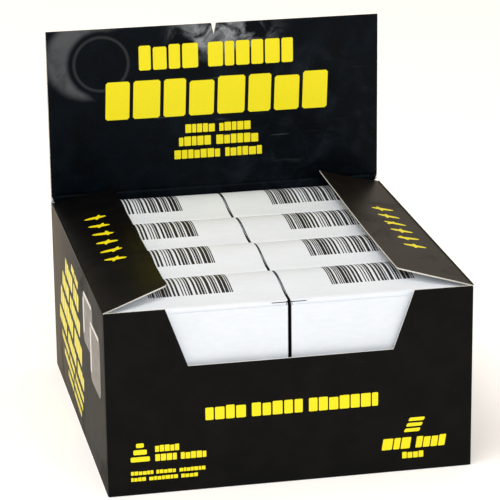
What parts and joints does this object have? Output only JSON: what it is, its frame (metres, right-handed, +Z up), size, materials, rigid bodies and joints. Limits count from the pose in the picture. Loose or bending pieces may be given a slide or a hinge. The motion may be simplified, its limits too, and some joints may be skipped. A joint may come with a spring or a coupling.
{
  "type": "gymnastics chalk block display box",
  "caption": "Folded paperboard counter display tray with a notched front, two side flaps and an upright header, filled with small white cartons of pressed gym chalk.",
  "frame": {"origin": "on the surface it stands on, under the middle of the tray", "axes": "+X to the right, -Y out of the notched front, +Z up"},
  "size_m": [0.13, 0.137, 0.134],
  "materials": {
    "printed_board": "black gloss-laminated print",
    "header_print": "dark photographic-style print under gloss laminate",
    "raw_board": "unprinted white board",
    "carton_board": "white semi-gloss carton board",
    "chalk": "matt pressed powder"
  },
  "bodies": {
    "tray": {"tray_front_panel": "printed_board", "tray_back_panel": "printed_board", "tray_left_panel": "printed_board", "tray_right_panel": "printed_board", "bottom_front_flap": "printed_board", "bottom_back_flap": "printed_board", "tray_glue_tab": "raw_board", "bottom_left_flap": "raw_board", "bottom_right_flap": "raw_board", "carton_1_left_shell": "carton_board", "carton_1_left_lid": "carton_board", "carton_1_left_inner_dust_flap": "carton_board", "carton_1_left_outer_dust_flap": "carton_board", "chalk_block_1_left": "chalk", "carton_1_right_shell": "carton_board", "carton_1_right_lid": "carton_board", "carton_1_right_inner_dust_flap": "carton_board", "carton_1_right_outer_dust_flap": "carton_board", "chalk_block_1_right": "chalk", "carton_2_left_shell": "carton_board", "carton_2_left_lid": "carton_board", "carton_2_left_inner_dust_flap": "carton_board", "carton_2_left_outer_dust_flap": "carton_board", "chalk_block_2_left": "chalk", "carton_2_right_shell": "carton_board", "carton_2_right_lid": "carton_board", "carton_2_right_inner_dust_flap": "carton_board", "carton_2_right_outer_dust_flap": "carton_board", "chalk_block_2_right": "chalk", "carton_3_left_shell": "carton_board", "carton_3_left_lid": "carton_board", "carton_3_left_inner_dust_flap": "carton_board", "carton_3_left_outer_dust_flap": "carton_board", "chalk_block_3_left": "chalk", "carton_3_right_shell": "carton_board", "carton_3_right_lid": "carton_board", "carton_3_right_inner_dust_flap": "carton_board", "carton_3_right_outer_dust_flap": "carton_board", "chalk_block_3_right": "chalk", "carton_4_left_shell": "carton_board", "carton_4_left_lid": "carton_board", "carton_4_left_inner_dust_flap": "carton_board", "carton_4_left_outer_dust_flap": "carton_board", "chalk_block_4_left": "chalk", "carton_4_right_shell": "carton_board", "carton_4_right_lid": "carton_board", "carton_4_right_inner_dust_flap": "carton_board", "carton_4_right_outer_dust_flap": "carton_board", "chalk_block_4_right": "chalk"},
    "left_flap": {"side_flap_left": "printed_board"},
    "right_flap": {"side_flap_right": "printed_board"},
    "header": {"header_back_leaf": "printed_board", "header_front_leaf": "header_print", "header_tuck_strip": "header_print"}
  },
  "joints": [
    {"name": "left_flap_hinge", "type": "hinge", "parent": "tray", "child": "left_flap", "pos_m": [-0.065, 0, 0.067], "axis": [0, -1, 0], "range_deg": [0, 250]},
    {"name": "right_flap_hinge", "type": "hinge", "parent": "tray", "child": "right_flap", "pos_m": [0.065, 0, 0.067], "axis": [0, 1, 0], "range_deg": [0, 250]},
    {"name": "header_hinge", "type": "hinge", "parent": "tray", "child": "header", "pos_m": [0, 0.0685, 0.067], "axis": [-1, 0, 0], "range_deg": [0, 170]}
  ]
}
